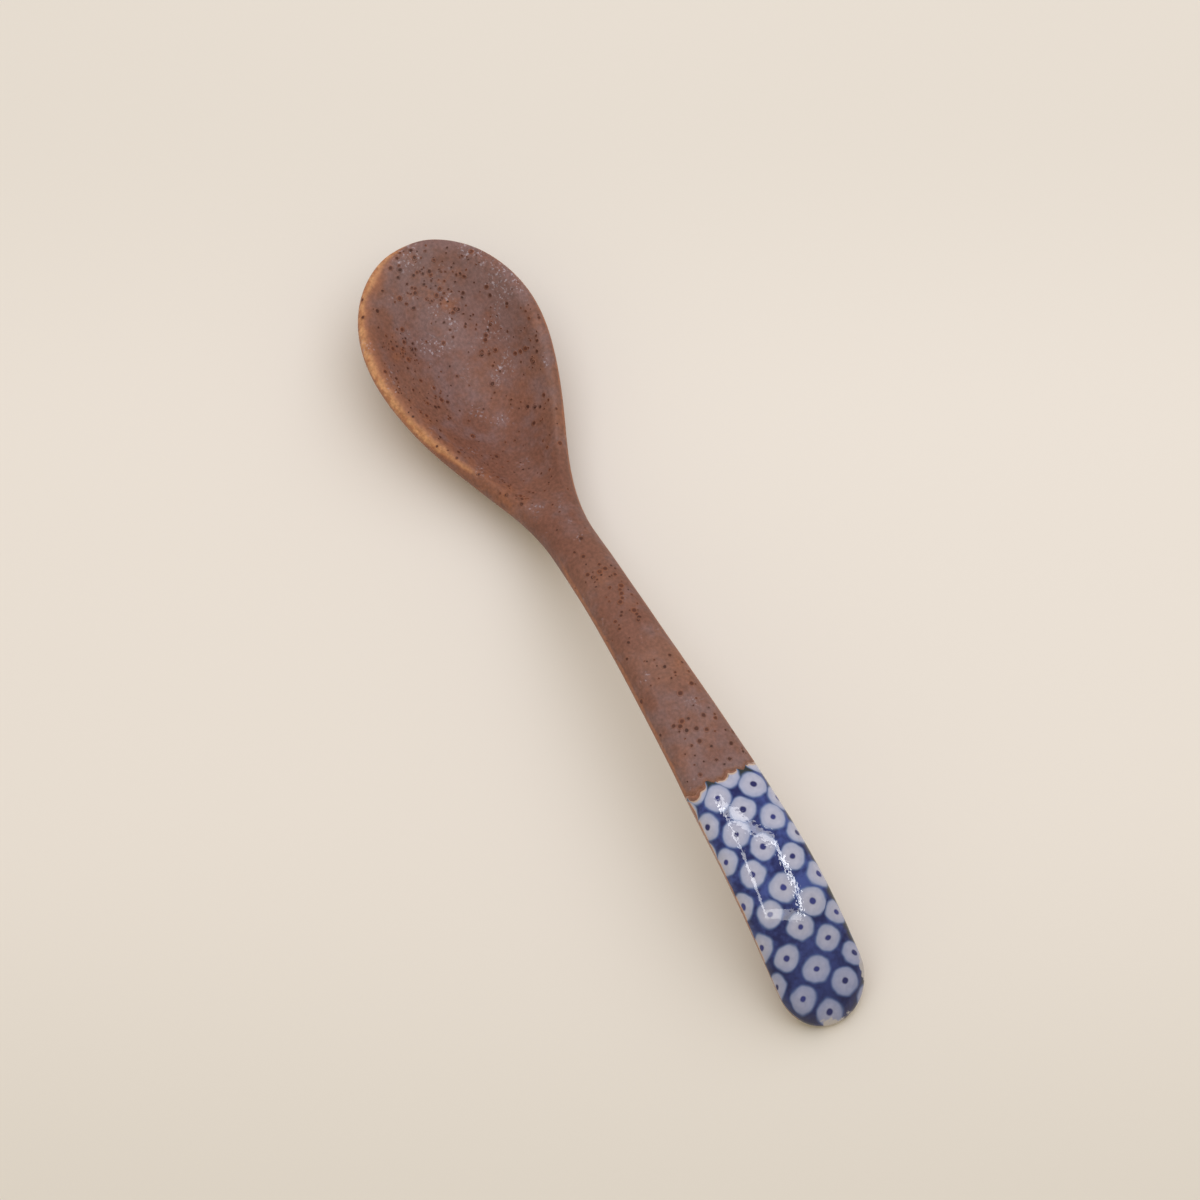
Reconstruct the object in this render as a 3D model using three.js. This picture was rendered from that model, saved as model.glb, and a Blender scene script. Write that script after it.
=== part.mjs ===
// Ceramic spoon: a fired clay body under a matt brown glaze, with a printed and clear-glazed handle end.
// Millimetres, +Z up. The spoon rests on its foot and handle end, bowl towards +X, alike on both sides of y = 0.
import * as THREE from "three";

// Outline seen from above
const LENGTH = 134; // tip of the bowl to end of the handle
const BOWL_WIDTH = 27.2;
const BOWL_NOSE = 17.2; // tip of the bowl to its widest place
const BOWL_LENGTH = 53.6; // tip of the bowl to the narrowest place of the neck
const NECK_WIDTH = 7.5;
const HANDLE_WIDTH = 13.4;
const END_LENGTH = 6.4; // rounded end of the handle, behind its widest place
const END_FULLNESS = 2; // power of the end's outline: 2 is an ellipse, more is squarer

// Heights above the table
const RIM_HEIGHT = 11.7; // top of the bowl's rim
const HEEL_HEIGHT = 6.5; // side edge where the bowl runs into the neck
const HEEL_AT = 40.5; // from the tip of the bowl
const RISE_HEIGHT = 13.1; // side edge on the rising stem
const RISE_AT = 63;
const ARCH_HEIGHT = 15.9; // side edge at the top of the arch
const ARCH_AT = 96;
const FALL_HEIGHT = 12.5; // side edge where the handle turns down
const FALL_BEFORE_END = 17; // from the end of the handle
const SETTLE_HEIGHT = 4.4; // side edge where the handle comes down on the table
const SETTLE_BEFORE_END = 5; // from the end of the handle
const TIP_HEIGHT = 0.9; // side edge at the very end

// Bowl
const RIM_RADIUS = 1.25; // roundness of the rim's outer edge
const LIP_WIDTH = 1.7; // outer edge to the start of the hollow
const BOWL_DEPTH = 7.4; // rim to the lowest place of the hollow
const HOLLOW_AT = 21; // lowest place of the hollow, from the tip of the bowl
const HOLLOW_LENGTH = 51; // tip of the bowl to where the hollow runs out on the neck
const BELLY_AT = 25; // lowest place of the underside, from the tip of the bowl
const RUN_UP_FROM = 19; // where the underside starts to run up to the neck
const RUN_UP_TO = 46;
const FOOT_GRIND = 0.5; // depth ground off under the belly to make it stand

// Stem and handle
const EDGE_RADIUS = 2.3; // roundness of the upper edges
const SHOULDER = 1.9; // height of the upper edges' rounding
const CROWN = 0.7; // further rise of the top to its middle
const NECK_BELOW = 3.1; // underside below the side edge at the neck
const HANDLE_BELOW = 2.7; // underside below the side edge at the handle

// Coats
const COAT = 0.36; // thickness of the brown glaze
const FILM = 0.1; // thickness of the print with its layer of colour
const PRINT_LENGTH = 35.7; // printed end of the handle
const TIP_WRAP = 2.6; // length at the end where the print also goes round the underside

// Fineness of the skin
const ROUND_STEPS = 4; // along each rounded upper edge
const TOP_STEPS = 10; // across the top between the rounded edges
const UNDER_STEPS = 14; // across the underside
const BOWL_STEPS = 36; // from the tip of the bowl to the print
const PRINT_STEPS = 16; // along the print on top
const END_STEPS = 5; // round the end

const HALF_TURN = Math.PI / 2;

// Rises from 0 at start to 1 at end, level at both.
function ease(start, end, s) {
  return 0.5 - 0.5 * Math.cos(Math.PI * THREE.MathUtils.clamp((s - start) / (end - start), 0, 1));
}

// Quarter of an ellipse's height, or of a rounder or flatter curve: 0 at the start, 1 from the reach onwards.
function quarter(along, reach, power) {
  const left = THREE.MathUtils.clamp(1 - along / reach, 0, 1);
  return (1 - left * left) ** power;
}

// Half-width of the outline at s from the bowl's tip.
function halfWidth(s) {
  const widest = LENGTH - END_LENGTH;
  if (s < BOWL_NOSE) return (BOWL_WIDTH / 2) * quarter(s, BOWL_NOSE, 0.5);
  if (s < BOWL_LENGTH)
    return THREE.MathUtils.lerp(BOWL_WIDTH / 2, NECK_WIDTH / 2, ease(BOWL_NOSE, BOWL_LENGTH, s));
  if (s < widest)
    return THREE.MathUtils.lerp(NECK_WIDTH / 2, HANDLE_WIDTH / 2, ease(BOWL_LENGTH, widest, s));
  return (HANDLE_WIDTH / 2) * endFullness(s);
}

// Narrowing over the rounded end of the handle, from 1 down to 0 at the very end.
function endFullness(s) {
  const past = THREE.MathUtils.clamp((s - LENGTH + END_LENGTH) / END_LENGTH, 0, 1);
  return (1 - past ** END_FULLNESS) ** (1 / END_FULLNESS);
}

// Height of the side edges, a smooth line from the rim over the arch to the end of the handle.
const RIM_EDGE = RIM_HEIGHT - RIM_RADIUS;
const edgeLine = new THREE.CubicInterpolant(
  [0, BOWL_NOSE, HEEL_AT, RISE_AT, ARCH_AT, LENGTH - FALL_BEFORE_END, LENGTH - SETTLE_BEFORE_END, LENGTH],
  [RIM_EDGE, RIM_EDGE, HEEL_HEIGHT, RISE_HEIGHT, ARCH_HEIGHT, FALL_HEIGHT, SETTLE_HEIGHT, TIP_HEIGHT],
  1,
);

// Depth of the hollow below the rim's level, in the middle of the bowl.
function hollowDepth(s) {
  const front = quarter(s - LIP_WIDTH, HOLLOW_AT - LIP_WIDTH, 1.15);
  return s < LIP_WIDTH ? 0 : BOWL_DEPTH * front * (1 - ease(HOLLOW_AT, HOLLOW_LENGTH, s));
}

// Depth of the underside below the side edges, in the middle.
function belowEdge(s) {
  const belly = RIM_EDGE + FOOT_GRIND;
  const bowl = belly * quarter(s, BELLY_AT, 0.62);
  const neck = THREE.MathUtils.lerp(bowl, NECK_BELOW, ease(RUN_UP_FROM, RUN_UP_TO, s));
  return THREE.MathUtils.lerp(neck, HANDLE_BELOW, ease(BOWL_LENGTH, LENGTH - END_LENGTH, s)) * endFullness(s) ** 0.8;
}

// Ring of [y, z] round the spoon at s: from the +Y side edge over the top to the other edge and back underneath.
function ring(s) {
  const width = halfWidth(s);
  const edge = edgeLine.evaluate(s)[0];
  const stem = ease(HOLLOW_AT, BOWL_LENGTH, s);
  const nose = quarter(s, RIM_RADIUS, 0.5) * endFullness(s) ** 0.8;
  const round = Math.min(THREE.MathUtils.lerp(RIM_RADIUS, EDGE_RADIUS, stem), 0.98 * width);
  const lift = THREE.MathUtils.lerp(RIM_RADIUS, SHOULDER, stem) * nose;
  const crown = CROWN * stem * nose;
  const depth = hollowDepth(s);
  const hollowHalf = Math.max(width - LIP_WIDTH, 0.01);
  const flat = width - round;
  const points = [];
  const top = (y, rise) => {
    const dish = Math.max(1 - (y / hollowHalf) ** 2, 0) ** 1.25;
    points.push([y, edge + lift * rise + crown * (1 - (y / width) ** 2) - depth * dish]);
  };
  for (let k = 0; k < ROUND_STEPS; k++) {
    const turn = (HALF_TURN * k) / ROUND_STEPS;
    top(flat + round * Math.cos(turn), Math.sin(turn));
  }
  for (let k = 0; k <= TOP_STEPS; k++) top(flat * (1 - (2 * k) / TOP_STEPS), 1);
  for (let k = ROUND_STEPS - 1; k >= 0; k--) {
    const turn = (HALF_TURN * k) / ROUND_STEPS;
    top(-flat - round * Math.cos(turn), Math.sin(turn));
  }
  const below = belowEdge(s);
  const power = THREE.MathUtils.lerp(0.66, 0.42, stem);
  for (let k = 1; k < UNDER_STEPS; k++) {
    const across = Math.sin(HALF_TURN * ((2 * k) / UNDER_STEPS - 1));
    const z = edge - below * (1 - Math.abs(across) ** 2.2) ** power;
    points.push([width * across, Math.max(z, 0)]);
  }
  return points;
}

// Stations along the spoon, closer together towards both ends, with one at the print's edge and one at its wrap.
const PRINT_AT = LENGTH - PRINT_LENGTH;
const WRAP_AT = LENGTH - TIP_WRAP;
const stations = [];
for (let k = 0; k < BOWL_STEPS; k++) stations.push(PRINT_AT * (k / BOWL_STEPS) ** 1.6);
for (let k = 0; k < PRINT_STEPS; k++)
  stations.push(THREE.MathUtils.lerp(PRINT_AT, WRAP_AT, 1 - (1 - k / PRINT_STEPS) ** 1.25));
for (let k = 0; k <= END_STEPS; k++)
  stations.push(THREE.MathUtils.lerp(WRAP_AT, LENGTH, 1 - (1 - k / END_STEPS) ** 2));

// The skin's points: the bowl's tip, each ring in turn, the handle's end.
const RING = 2 * ROUND_STEPS + TOP_STEPS + UNDER_STEPS;
const LAST = stations.length - 1;
const skin = [new THREE.Vector3(LENGTH / 2, 0, edgeLine.evaluate(0)[0])];
for (const s of stations.slice(1, LAST))
  for (const [y, z] of ring(s)) skin.push(new THREE.Vector3(LENGTH / 2 - s, y, z));
skin.push(new THREE.Vector3(-LENGTH / 2, 0, edgeLine.evaluate(LENGTH)[0]));

// Number of the point at a station and a place on its ring.
function at(station, place) {
  if (station === 0) return 0;
  if (station === LAST) return skin.length - 1;
  return 1 + (station - 1) * RING + (place % RING);
}

// The skin's triangles, facing out, each with the station and the place that it starts at.
const faces = [];
for (let i = 0; i < LAST; i++)
  for (let j = 0; j < RING; j++) {
    const corners = [at(i, j), at(i + 1, j), at(i + 1, j + 1), at(i, j + 1)];
    if (i > 0) faces.push({ i, j, points: [corners[0], corners[1], corners[3]] });
    if (i < LAST - 1) faces.push({ i, j, points: [corners[1], corners[2], corners[3]] });
    if (i === 0) faces[faces.length - 1].points = [corners[0], corners[1], corners[2]];
  }

// Outward directions of the skin at its points.
const outward = skin.map(() => new THREE.Vector3());
for (const { points } of faces) {
  const [a, b, c] = points.map((p) => skin[p]);
  const normal = b.clone().sub(a).cross(c.clone().sub(a));
  for (const p of points) outward[p].add(normal);
}
for (const direction of outward) direction.normalize();

// A point of the skin at a depth under it.
function under(point, depth) {
  return skin[point].clone().addScaledVector(outward[point], -depth);
}

// Named mesh from triangles of corner positions.
function mesh(name, triangles, material) {
  const geometry = new THREE.BufferGeometry().setFromPoints(triangles.flat());
  geometry.computeVertexNormals();
  const made = new THREE.Mesh(geometry, new THREE.MeshStandardMaterial(material));
  made.name = name;
  return made;
}

// The solid inside the skin, all at one depth.
function core(name, depth, material) {
  return mesh(
    name,
    faces.map((face) => face.points.map((p) => under(p, depth))),
    material,
  );
}

// A coat over some of the skin, from its first depth to its last, with side walls through the depths between.
function coat(name, covers, depths, material) {
  const covered = faces.filter(covers);
  const inner = depths[0];
  const outer = depths[depths.length - 1];
  const triangles = [];
  const edges = new Map();
  for (const { points } of covered) {
    triangles.push(points.map((p) => under(p, outer)));
    triangles.push(points.map((p) => under(p, inner)).reverse());
    points.forEach((p, k) => {
      const next = points[(k + 1) % 3];
      if (!edges.delete(next + "/" + p)) edges.set(p + "/" + next, [p, next]);
    });
  }
  for (const [from, to] of edges.values())
    for (let k = 0; k + 1 < depths.length; k++) {
      const low = [under(from, depths[k]), under(to, depths[k])];
      const high = [under(from, depths[k + 1]), under(to, depths[k + 1])];
      if (from < to) triangles.push([low[0], low[1], high[1]], [low[0], high[1], high[0]]);
      else triangles.push([low[0], low[1], high[0]], [low[1], high[1], high[0]]);
    }
  return mesh(name, triangles, material);
}

// The print covers the top of the handle's end, and all round its tip.
const TOP_PLACES = 2 * ROUND_STEPS + TOP_STEPS;
const printed = ({ i, j }) => stations[i] >= PRINT_AT && (j < TOP_PLACES || stations[i] >= WRAP_AT);
const plain = (face) => !printed(face);
const FILM_TOP = COAT - FILM;

const spoon = new THREE.Group();
spoon.name = "ceramic_spoon";
spoon.add(
  core("clay_body", COAT, { color: 0xe6dbc6, roughness: 0.85, metalness: 0 }),
  coat("brown_glaze", plain, [COAT, FILM_TOP, 0], { color: 0x7b5646, roughness: 0.55, metalness: 0 }),
  coat("print_film", printed, [COAT, FILM_TOP], { color: 0x33407a, roughness: 0.4, metalness: 0 }),
  coat("clear_glaze", printed, [FILM_TOP, 0], { color: 0xdfe3ea, roughness: 0.08, metalness: 0 }),
);
export default spoon;
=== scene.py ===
import math

import bpy
import numpy as np
from mathutils import Matrix, Vector, noise


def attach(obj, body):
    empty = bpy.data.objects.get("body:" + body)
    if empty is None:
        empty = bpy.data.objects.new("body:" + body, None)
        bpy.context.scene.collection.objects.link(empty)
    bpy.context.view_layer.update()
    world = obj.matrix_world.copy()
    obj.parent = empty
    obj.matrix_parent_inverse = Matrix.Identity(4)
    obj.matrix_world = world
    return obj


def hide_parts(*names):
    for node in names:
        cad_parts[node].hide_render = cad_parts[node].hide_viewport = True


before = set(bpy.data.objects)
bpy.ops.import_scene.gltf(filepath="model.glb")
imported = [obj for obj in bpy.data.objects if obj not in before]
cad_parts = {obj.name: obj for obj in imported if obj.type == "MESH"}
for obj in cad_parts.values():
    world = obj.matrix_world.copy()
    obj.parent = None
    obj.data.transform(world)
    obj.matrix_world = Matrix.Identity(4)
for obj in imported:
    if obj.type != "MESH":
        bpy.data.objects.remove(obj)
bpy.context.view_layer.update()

# Clay body
# The moulded and fired stoneware inside the coats, bowl, neck and handle in one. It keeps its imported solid,
# and only its cream colour and dry grain are made here.
MM = 0.001


def srgb(red, green, blue):
    """A picture's colour, 0 to 255, as the linear colour that a shader takes."""
    share = np.array((red, green, blue)) / 255
    linear = np.where(share <= 0.04045, share / 12.92, ((share + 0.055) / 1.055) ** 2.4)
    return (*linear, 1.0)


def add(tree, kind, inputs=None, **settings):
    """A new node with its settings and inputs. An input is a value, or an output to link."""
    made = tree.nodes.new(kind)
    for name, value in settings.items():
        setattr(made, name, value)
    for name, value in (inputs or {}).items():
        if isinstance(value, bpy.types.NodeSocket):
            tree.links.new(value, made.inputs[name])
        else:
            made.inputs[name].default_value = value
    return made


def mix(tree, share, first, second):
    """A colour between two colours."""
    return add(tree, "ShaderNodeMix", {0: share, 6: first, 7: second}, data_type="RGBA").outputs[2]


def object_place(tree):
    """The place on the object that a shader is asked about."""
    return add(tree, "ShaderNodeTexCoord").outputs["Object"]


def cloud(tree, place, size, detail=2.0):
    """Noise round 0.5 with features of about a size in millimetres."""
    inputs = {"Vector": place, "Scale": 1 / (size * MM), "Detail": detail}
    return add(tree, "ShaderNodeTexNoise", inputs).outputs[0]


def bump(tree, height, depth):
    """A normal from a height of 0 to 1, with its depth in millimetres."""
    inputs = {"Height": height, "Distance": depth * MM, "Strength": 1.0}
    return add(tree, "ShaderNodeBump", inputs).outputs[0]


def new_material(name):
    """A material with its node tree and its shader."""
    made = bpy.data.materials.new(name)
    made.use_nodes = True
    return made, made.node_tree, made.node_tree.nodes["Principled BSDF"]


CLAY_CREAMS = (srgb(226, 212, 186), srgb(238, 229, 210))
CLAY_PATCHES = 7.0
CLAY_GRAIN = 0.6
CLAY_GRAIN_DEPTH = 0.03
CLAY_ROUGHNESS = 0.85


def clay_material():
    """Cream clay in faint patches, with a dry grain."""
    made, tree, shader = new_material("fired_clay")
    place = object_place(tree)
    colour = mix(tree, cloud(tree, place, CLAY_PATCHES), *CLAY_CREAMS)
    grain = cloud(tree, place, CLAY_GRAIN, 3.0)
    tree.links.new(colour, shader.inputs["Base Color"])
    tree.links.new(bump(tree, grain, CLAY_GRAIN_DEPTH), shader.inputs["Normal"])
    shader.inputs["Roughness"].default_value = CLAY_ROUGHNESS
    return made


clay_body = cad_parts["clay_body"]
clay_body.data.materials.clear()
clay_body.data.materials.append(clay_material())

# Brown glaze
# The matt iron glaze over the bowl, the stem, and the back and sides of the handle, a third of a millimetre
# thick and melted on to the clay. Its form repeats the solids' sizes and rules in millimetres, with s from
# the bowl's tip to the handle's end, in finer steps and with the slight waves of a hand-finished mould.
LENGTH = 134.0
BOWL_WIDTH = 27.2
BOWL_NOSE = 17.2
BOWL_LENGTH = 53.6
NECK_WIDTH = 7.5
HANDLE_WIDTH = 13.4
END_LENGTH = 6.4
RIM_HEIGHT = 11.7
RIM_RADIUS = 1.25
RIM_EDGE = RIM_HEIGHT - RIM_RADIUS
SIDE_EDGE = np.array((
    (0, RIM_EDGE),
    (BOWL_NOSE, RIM_EDGE),
    (40.5, 6.5),  # the heel, where the bowl runs into the neck
    (63, 13.1),  # the rising stem
    (96, 15.9),  # the top of the arch
    (LENGTH - 17, 12.5),  # where the handle turns down
    (LENGTH - 5, 4.4),  # where it comes down on the table
    (LENGTH, 0.9),
))
EDGE_AT, EDGE_HEIGHT = SIDE_EDGE.T
LIP_WIDTH = 1.7
BOWL_DEPTH = 7.4
HOLLOW_AT = 21.0
HOLLOW_LENGTH = 51.0
BELLY_AT = 25.0
RUN_UP_FROM = 19.0
RUN_UP_TO = 46.0
FOOT_GRIND = 0.5
EDGE_RADIUS = 2.3
SHOULDER = 1.9
CROWN = 0.7
NECK_BELOW = 3.1
HANDLE_BELOW = 2.7
COAT = 0.36
PRINT_AT = LENGTH - 35.7
WRAP_AT = LENGTH - 2.6

# Powers that shape its curves, such as 0.5 for a quarter of an ellipse
ELLIPSE = 0.5
FRONT_POWER = 1.15
DISH_POWER = 1.25
BELLY_POWER = 0.62
END_POWER = 0.8
UNDER_POWER = 2.2
UNDER_BOWL_POWER = 0.66
UNDER_STEM_POWER = 0.42

# Steps of its mesh, and its waves
ROUND_STEPS = 10
TOP_STEPS = 48
UNDER_STEPS = 44
BOWL_STEPS = 150
PRINT_STEPS = 64
END_STEPS = 10
TIP_CROWDING = 1.35
ROUNDING_MOST = 0.98
LEAST_WIDTH = 0.01
WAVE = 0.05
WAVES_PER_METRE = 130
WAVE_FREE_HEIGHT = 1.5


def ease(start, end, s):
    """Rises from 0 at start to 1 at end, level at both."""
    return 0.5 - 0.5 * np.cos(np.pi * np.clip((s - start) / (end - start), 0, 1))


def quarter(along, reach, power):
    """A quarter of a round curve: 0 at the start, 1 from the reach onwards."""
    left = np.clip(1 - along / reach, 0, 1)
    return (1 - left * left) ** power


def blend(first, second, share):
    """A number between two numbers."""
    return first + (second - first) * share


def end_fullness(s):
    """Narrowing over the rounded end of the handle, from 1 down to 0."""
    past = np.clip((s - LENGTH + END_LENGTH) / END_LENGTH, 0, 1)
    return np.sqrt(1 - past * past)


def half_width(s):
    """Half the outline's width at s."""
    bowl = BOWL_WIDTH / 2 * quarter(s, BOWL_NOSE, ELLIPSE)
    taper = (NECK_WIDTH - BOWL_WIDTH) / 2 * ease(BOWL_NOSE, BOWL_LENGTH, s)
    flare = (HANDLE_WIDTH - NECK_WIDTH) / 2 * ease(BOWL_LENGTH, LENGTH - END_LENGTH, s)
    return (bowl + taper + flare) * end_fullness(s)


def edge_height(s):
    """Height of the side edges, a smooth line from the rim over the arch to the end of the handle."""
    slopes = np.diff(EDGE_HEIGHT) / np.diff(EDGE_AT)
    tangents = np.concatenate((slopes[:1], (slopes[1:] + slopes[:-1]) / 2, slopes[-1:]))
    k = np.clip(np.searchsorted(EDGE_AT, s) - 1, 0, len(slopes) - 1)
    span = EDGE_AT[k + 1] - EDGE_AT[k]
    t = (s - EDGE_AT[k]) / span
    ends = EDGE_HEIGHT[k] + (EDGE_HEIGHT[k + 1] - EDGE_HEIGHT[k]) * t * t * (3 - 2 * t)
    return ends + span * t * (1 - t) * (tangents[k] * (1 - t) - tangents[k + 1] * t)


def hollow_depth(s):
    """Depth of the bowl's hollow below the rim's level, in the middle."""
    front = quarter(np.maximum(s - LIP_WIDTH, 0), HOLLOW_AT - LIP_WIDTH, FRONT_POWER)
    return BOWL_DEPTH * front * (1 - ease(HOLLOW_AT, HOLLOW_LENGTH, s))


def below_edge(s):
    """Depth of the underside below the side edges, in the middle."""
    bowl = (RIM_EDGE + FOOT_GRIND) * quarter(s, BELLY_AT, BELLY_POWER)
    neck = blend(bowl, NECK_BELOW, ease(RUN_UP_FROM, RUN_UP_TO, s))
    handle = blend(neck, HANDLE_BELOW, ease(BOWL_LENGTH, LENGTH - END_LENGTH, s))
    return handle * end_fullness(s) ** END_POWER


def ring_top(s, width, edge, stem):
    """The upper half of the rings, from the +Y side edge to the other: places across and heights."""
    nose = quarter(s, RIM_RADIUS, ELLIPSE) * end_fullness(s) ** END_POWER
    rounding = np.minimum(blend(RIM_RADIUS, EDGE_RADIUS, stem), ROUNDING_MOST * width)
    flat = width - rounding
    turn = np.arange(ROUND_STEPS) * np.pi / 2 / ROUND_STEPS
    corner = flat + rounding * np.cos(turn)
    y = np.hstack((corner, flat * np.linspace(1, -1, TOP_STEPS + 1), -corner[:, ::-1]))
    rise = np.concatenate((np.sin(turn), np.ones(TOP_STEPS + 1), np.sin(turn[::-1])))
    dish = np.maximum(1 - (y / np.maximum(width - LIP_WIDTH, LEAST_WIDTH)) ** 2, 0) ** DISH_POWER
    lift = blend(RIM_RADIUS, SHOULDER, stem) * rise + CROWN * stem * (1 - (y / width) ** 2)
    return y, edge + lift * nose - hollow_depth(s) * dish


def ring_under(s, width, edge, stem):
    """The lower half of the rings, back to the +Y side edge and flat at the table: places and heights."""
    across = np.sin(np.pi * (np.arange(1, UNDER_STEPS) / UNDER_STEPS - 0.5))
    belly = (1 - np.abs(across) ** UNDER_POWER) ** blend(UNDER_BOWL_POWER, UNDER_STEM_POWER, stem)
    return width * across, np.maximum(edge - below_edge(s) * belly, 0)


def rings(s):
    """Rings of (s, y, z), from the +Y side edge over the top to the other and back underneath."""
    s = s[:, None]
    sizes = (half_width(s), edge_height(s), ease(HOLLOW_AT, BOWL_LENGTH, s))
    top_y, top_z = ring_top(s, *sizes)
    under_y, under_z = ring_under(s, *sizes)
    y = np.hstack((top_y, under_y))
    return np.stack((np.broadcast_to(s, y.shape), y, np.hstack((top_z, under_z))), axis=2)


def stations():
    """Places along the spoon, closer towards both ends, with one at the print's edge and one at its wrap."""
    bowl = PRINT_AT * (np.arange(BOWL_STEPS) / BOWL_STEPS) ** TIP_CROWDING
    top = blend(PRINT_AT, WRAP_AT, np.arange(PRINT_STEPS) / PRINT_STEPS)
    end = blend(WRAP_AT, LENGTH, 1 - (1 - np.arange(END_STEPS + 1) / END_STEPS) ** 2)
    return np.concatenate((bowl, top, end))


STATIONS = stations()
LAST = len(STATIONS) - 1
RING = 2 * ROUND_STEPS + TOP_STEPS + UNDER_STEPS
TOP_PLACES = 2 * ROUND_STEPS + TOP_STEPS

# Waves of the print's edge across the handle, each a height, a turn for each millimetre and a start
EDGE_WAVES = ((0.32, 1.7, 0.6), (0.2, 3.9, 2.1))
EDGE_WAVES_REACH = 2.5


def skin_number(station, place):
    """Number of the skin's point at a station and a place on its ring: the two ends are one point each."""
    if station == 0:
        return 0
    if station == LAST:
        return 1 + (LAST - 1) * RING
    return 1 + (station - 1) * RING + place % RING


def ragged_edge(s, y):
    """How far the print's edge wanders along the handle at y, fading out to either side of it."""
    wander = sum(height * np.sin(turn * y + start) for height, turn, start in EDGE_WAVES)
    return wander * np.exp(-(((s - PRINT_AT) / EDGE_WAVES_REACH) ** 2))


def skin_points():
    """The skin's points as (s, y, z): the bowl's tip, each ring in turn, the handle's end."""
    body = rings(STATIONS[1:LAST]).reshape(-1, 3)
    tip = (0, 0, edge_height(np.array(0.0)))
    end = (LENGTH, 0, edge_height(np.array(LENGTH)))
    points = np.vstack((tip, body, end))
    points[:, 0] += ragged_edge(points[:, 0], points[:, 1])
    return points


def skin_faces():
    """The skin's faces, facing out, with the stations and places that they start at."""
    faces, starts = [], []
    for i in range(LAST):
        for j in range(RING):
            places = ((i, j), (i + 1, j), (i + 1, j + 1), (i, j + 1))
            corners = [skin_number(*place) for place in places]
            faces.append(list(dict.fromkeys(corners)))
            starts.append((i, j))
    return faces, np.array(starts)


def facing(points, faces):
    """Outward directions at the points of a mesh."""
    a, b, c = (points[[face[k] for face in faces]] for k in (0, 1, -1))
    across = np.cross(b - a, c - a)
    outward = np.zeros_like(points)
    for k in range(4):
        np.add.at(outward, [face[k % len(face)] for face in faces], across)
    return outward / np.linalg.norm(outward, axis=1, keepdims=True)


# Points of the outline: evenly spaced in the middle, and closer together towards the ends
OUTLINE_MIDDLE_FROM = 6.0
OUTLINE_MIDDLE_POINTS = 500
OUTLINE_END_ROOT = 2.4
OUTLINE_END_POINTS = 60
BATCHES = 60


def nearest(points, line):
    """Distance of each point from the nearest point of a line, in batches to spare memory."""
    parts = np.array_split(points, BATCHES)
    return np.concatenate([np.linalg.norm(part[:, None] - line[None], axis=2).min(axis=1) for part in parts])


def outline_distance(points):
    """Distance of points from the spoon's outline seen from above."""
    ends = np.linspace(0, OUTLINE_END_ROOT, OUTLINE_END_POINTS) ** 2
    middle = np.linspace(OUTLINE_MIDDLE_FROM, LENGTH - OUTLINE_MIDDLE_FROM, OUTLINE_MIDDLE_POINTS)
    s = np.concatenate((ends, middle, LENGTH - ends))
    width = half_width(s)
    return nearest(points[:, :2], np.vstack((np.stack((s, width), axis=1), np.stack((s, -width), axis=1))))


SKIN = skin_points()
FACES, STARTS = skin_faces()
PLACES = np.stack((LENGTH / 2 - SKIN[:, 0], SKIN[:, 1], SKIN[:, 2]), axis=1) * MM
OUTWARD = facing(PLACES, FACES)
waves = np.array([noise.noise(Vector(place) * WAVES_PER_METRE) for place in PLACES])
waves *= np.clip(SKIN[:, 2] / WAVE_FREE_HEIGHT, 0, 1)
PLACES += OUTWARD * (waves * WAVE * MM)[:, None]
PLACES[:, 2] = np.maximum(PLACES[:, 2], 0)
starts_at = STATIONS[STARTS[:, 0]]
is_printed = (starts_at >= PRINT_AT) & ((STARTS[:, 1] < TOP_PLACES) | (starts_at >= WRAP_AT))
printed_points = {p for face, inside in zip(FACES, is_printed) if inside for p in face}
plain_points = {p for face, inside in zip(FACES, is_printed) if not inside for p in face}
ring_place = np.concatenate(((0,), np.tile(np.arange(RING), LAST - 1), (0,)))
EDGE_MM = outline_distance(SKIN) * np.where(ring_place <= TOP_PLACES, 1, -1)
PARTING_MM = nearest(SKIN, SKIN[sorted(printed_points & plain_points)])


def give(piece, name, values):
    """Stores a number at each point of a piece."""
    made = piece.data.attributes.new(name, "FLOAT", "POINT")
    made.data.foreach_set("value", np.asarray(values, dtype=np.float32))


def coat(name, covered):
    """A closed coat over some faces of the skin, down to the clay, with its points' numbers on the skin."""
    faces = [face for face, inside in zip(FACES, covered) if inside]
    numbers = sorted({p for face in faces for p in face})
    place = {p: k for k, p in enumerate(numbers)}
    count = len(numbers)
    outer = [[place[p] for p in face] for face in faces]
    inner = [[p + count for p in reversed(face)] for face in outer]
    sides = {(a, b) for face in outer for a, b in zip(face, face[1:] + face[:1])}
    walls = sorted([b, a, a + count, b + count] for a, b in sides if (b, a) not in sides)
    points = np.vstack((PLACES[numbers], PLACES[numbers] - OUTWARD[numbers] * COAT * MM))
    mesh = bpy.data.meshes.new(name)
    mesh.from_pydata(points.tolist(), [], outer + inner + walls)
    mesh.shade_smooth()
    made = bpy.data.objects.new(name, mesh)
    bpy.context.scene.collection.objects.link(made)
    on_skin = mesh.attributes.new("on_skin", "BOOLEAN", "FACE")
    on_skin.data.foreach_set("value", np.arange(len(mesh.polygons)) < len(outer))
    numbers = np.array(numbers + numbers)
    give(made, "edge_mm", EDGE_MM[numbers])
    give(made, "parting_mm", PARTING_MM[numbers])
    return made, numbers


def calc(tree, operation, *values):
    """The result of a Math node."""
    return add(tree, "ShaderNodeMath", dict(enumerate(values)), operation=operation).outputs[0]


def times(tree, *values):
    """The product of values."""
    product = values[0]
    for value in values[1:]:
        product = calc(tree, "MULTIPLY", product, value)
    return product


def plus(tree, start, value, factor):
    """A start plus a value times a factor."""
    return calc(tree, "MULTIPLY_ADD", value, factor, start)


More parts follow.
